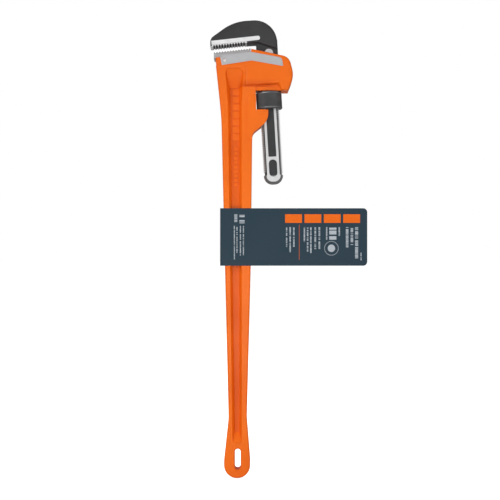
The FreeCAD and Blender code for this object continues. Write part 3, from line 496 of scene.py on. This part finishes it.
shape = bmesh.new()
section = bmesh.ops.create_circle(shape, cap_ends=True, segments=10, radius=wire / 2)["verts"]
bmesh.ops.translate(shape, verts=section, vec=(coil_radius, 0, 0))
bmesh.ops.rotate(shape, verts=section, cent=(0, 0, 0), matrix=Matrix.Rotation(math.radians(90), 3, "X"))
coil_length = coil_high.x - coil_low.x - wire
steps = round(coil_turns * steps_per_turn)
bmesh.ops.spin(shape, geom=shape.verts[:] + shape.edges[:] + shape.faces[:], cent=(0, 0, 0), axis=(0, 0, 1),
               dvec=(0, 0, coil_length / steps), angle=2 * math.pi * coil_turns, steps=steps)
bmesh.ops.remove_doubles(shape, verts=shape.verts, dist=0.001 * MM)
bmesh.ops.rotate(shape, verts=shape.verts, cent=(0, 0, 0), matrix=Matrix.Rotation(math.radians(90), 3, "Y"))
bmesh.ops.translate(shape, verts=shape.verts, vec=coil_centre)
bmesh.ops.recalc_face_normals(shape, faces=shape.faces)
for face in shape.faces:
    face.smooth = True
coil = bpy.data.objects.new("coil_spring_wire", bpy.data.meshes.new("coil_spring_wire"))
shape.to_mesh(coil.data)
shape.free()
bpy.context.scene.collection.objects.link(coil)

blued, tree, place, split, side = new_finish("blued_spring_steel")
haze = place_effect(tree, skin, place, grain=1500.0, lumps=350.0, drift=45.0)
close_finish(tree, {
    "Base Color": blend(tree, haze["Tone"], (0.05, 0.06, 0.09, 1), (0.10, 0.11, 0.14, 1)),
    "Metallic": 0.9,
    "Roughness": spread(tree, haze["Tone"], 0.24, 0.36),
}, haze["Height"], 0.04 * MM)
dress(coil, blued)
dress(nodes["flat_spring"], blued)
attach(coil, "handle")
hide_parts("coil_spring")
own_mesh(coil)


# ==== Card sleeve ====
# One strip of varnished board, printed slate on its outside, wrapped round the beam and glued to itself
# as a flag. The print is plain blocks and broken bars that only suggest a heading and columns of text.
card_low, card_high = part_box("card_sleeve")
slate = (0.018, 0.038, 0.054, 1)
ink_white = (0.52, 0.56, 0.60, 1)
ink_orange = (0.74, 0.125, 0.004, 1)

# A printed bar that reads downwards: bounds in millimetres from the card's top left corner
bars, given = effect(
    "printed_bar", {"Left": 0.0, "Right": 1.0, "Top": 0.0, "Bottom": 1.0, "Letter": 0.0}, ["Ink"])
spot = node(bars, "ShaderNodeSeparateXYZ", {0: given["Place"]}).outputs
inside = calc(bars, "MULTIPLY", calc(bars, "GREATER_THAN", spot[0], given["Left"]),
              calc(bars, "LESS_THAN", spot[0], given["Right"]))
inside = calc(bars, "MULTIPLY", inside, calc(bars, "GREATER_THAN", spot[1], given["Top"]))
inside = calc(bars, "MULTIPLY", inside, calc(bars, "LESS_THAN", spot[1], given["Bottom"]))
letter = calc(bars, "MAXIMUM", given["Letter"], 0.01)
cell = calc(bars, "DIVIDE", spot[1], letter)
word = calc(bars, "FLOOR", calc(bars, "DIVIDE", cell, 5.0))
seed = node(bars, "ShaderNodeCombineXYZ", {0: calc(bars, "FLOOR", cell), 1: given["Left"], 2: word})
chance = node(bars, "ShaderNodeTexWhiteNoise", {"Vector": seed.outputs[0]}, noise_dimensions="3D").outputs[0]
stroke = calc(bars, "LESS_THAN", calc(bars, "FRACT", cell), spread(bars, chance, 0.45, 0.9))
printed = calc(bars, "MULTIPLY", stroke, calc(bars, "GREATER_THAN", chance, 0.16))
solid = calc(bars, "LESS_THAN", given["Letter"], 0.05)
node(bars, "NodeGroupOutput", {"Ink": calc(bars, "MULTIPLY", inside, calc(bars, "MAXIMUM", printed, solid))})

block_wide, block_top, block_bottom = 39, 14, 34
orange_blocks = [(left, left + block_wide, block_top, block_bottom) for left in (151, 196, 241, 286)]
divider_bar = (183.2, 184.6, 38, 120)
sign_centre, disc_radius, ring_radius, ring_half = (258.5, 93.0, 0), 8.6, 16.0, 0.7
white_bars = [
    (32, 34.5, 41, 119, 1.5), (38, 40.5, 41, 104, 1.5), (46, 48.5, 41, 110, 1.5), (53, 55.5, 41, 110, 1.5),
    (33, 40, 14, 35, 1.2), (45, 57, 15, 35, 5.5),
    (153, 156, 44, 90, 1.8), (161, 164.5, 44, 102, 1.8), (169.5, 173, 44, 90, 1.8),
    (194, 197.5, 44, 78, 1.8), (201.5, 205, 44, 102, 1.8), (209, 212.5, 44, 104, 1.8),
    (219, 223, 44, 95, 1.8), (228.5, 232.5, 44, 95, 1.8),
    (246, 249, 44, 74, 1.5), (253.5, 270, 45, 73, 13.0), (275, 278.5, 44, 64, 1.5),
    (292, 298, 44, 91, 2.2), (303, 309, 44, 85, 2.2), (313.5, 320.5, 44, 120, 2.2),
    (326, 328.5, 103, 121, 1.2)]

card, tree, place, split, side = new_finish("printed_card")
right = calc(tree, "DIVIDE", calc(tree, "SUBTRACT", split[0], card_low.x), MM)
down = calc(tree, "DIVIDE", calc(tree, "SUBTRACT", card_high.z, split[2]), MM)
sheet = node(tree, "ShaderNodeCombineXYZ", {0: right, 1: down}).outputs[0]


def print_bars(tree, bounds):
    """Ink of several printed bars, each given as left, right, top, bottom and the length of a letter."""
    ink = 0.0
    for left, right, top, bottom, *letter in bounds:
        bar = place_effect(tree, bars, sheet, left=left, right=right, top=top, bottom=bottom,
                           letter=letter[0] if letter else 0.0)
        ink = calc(tree, "MAXIMUM", ink, bar["Ink"])
    return ink


front = calc(tree, "LESS_THAN", split[1], card_low.y + 0.3 * MM)
heading = calc(tree, "MULTIPLY", print_bars(tree, orange_blocks), front)
divider = calc(tree, "MULTIPLY", print_bars(tree, [divider_bar]), front)
columns = calc(tree, "MULTIPLY", print_bars(tree, white_bars), front)
from_centre = node(tree, "ShaderNodeVectorMath", {0: sheet, 1: sign_centre},
                   operation="DISTANCE").outputs["Value"]
disc = calc(tree, "LESS_THAN", from_centre, disc_radius)
ring = calc(tree, "COMPARE", from_centre, ring_radius, ring_half)
symbol = calc(tree, "MAXIMUM", calc(tree, "MULTIPLY", disc, 0.75), calc(tree, "MULTIPLY", ring, 0.45))
symbol = calc(tree, "MULTIPLY", symbol, front)
ink = blend(tree, calc(tree, "MULTIPLY", columns, 0.75), slate, ink_white)
ink = blend(tree, symbol, ink, ink_white)
ink = blend(tree, calc(tree, "MULTIPLY", divider, 0.55), ink, ink_orange)
ink = blend(tree, heading, ink, ink_orange)
fibre = place_effect(tree, skin, place, grain=1800.0, lumps=260.0, drift=12.0)
cut = calc(tree, "MAXIMUM", calc(tree, "GREATER_THAN", split[2], card_high.z - 0.05 * MM),
           calc(tree, "LESS_THAN", split[2], card_low.z + 0.05 * MM))
board = blend(tree, fibre["Tone"], (0.50, 0.47, 0.42, 1), (0.62, 0.60, 0.55, 1))
close_finish(tree, {
    "Base Color": blend(tree, cut, ink, board),
    "Roughness": spread(tree, cut, spread(tree, fibre["Tone"], 0.42, 0.5), 0.9),
    "Coat Weight": 0.03,
    "Coat Roughness": 0.3,
    "Specular IOR Level": 0.12,
}, fibre["Height"], 0.03 * MM)
dress(nodes["card_sleeve"], card)
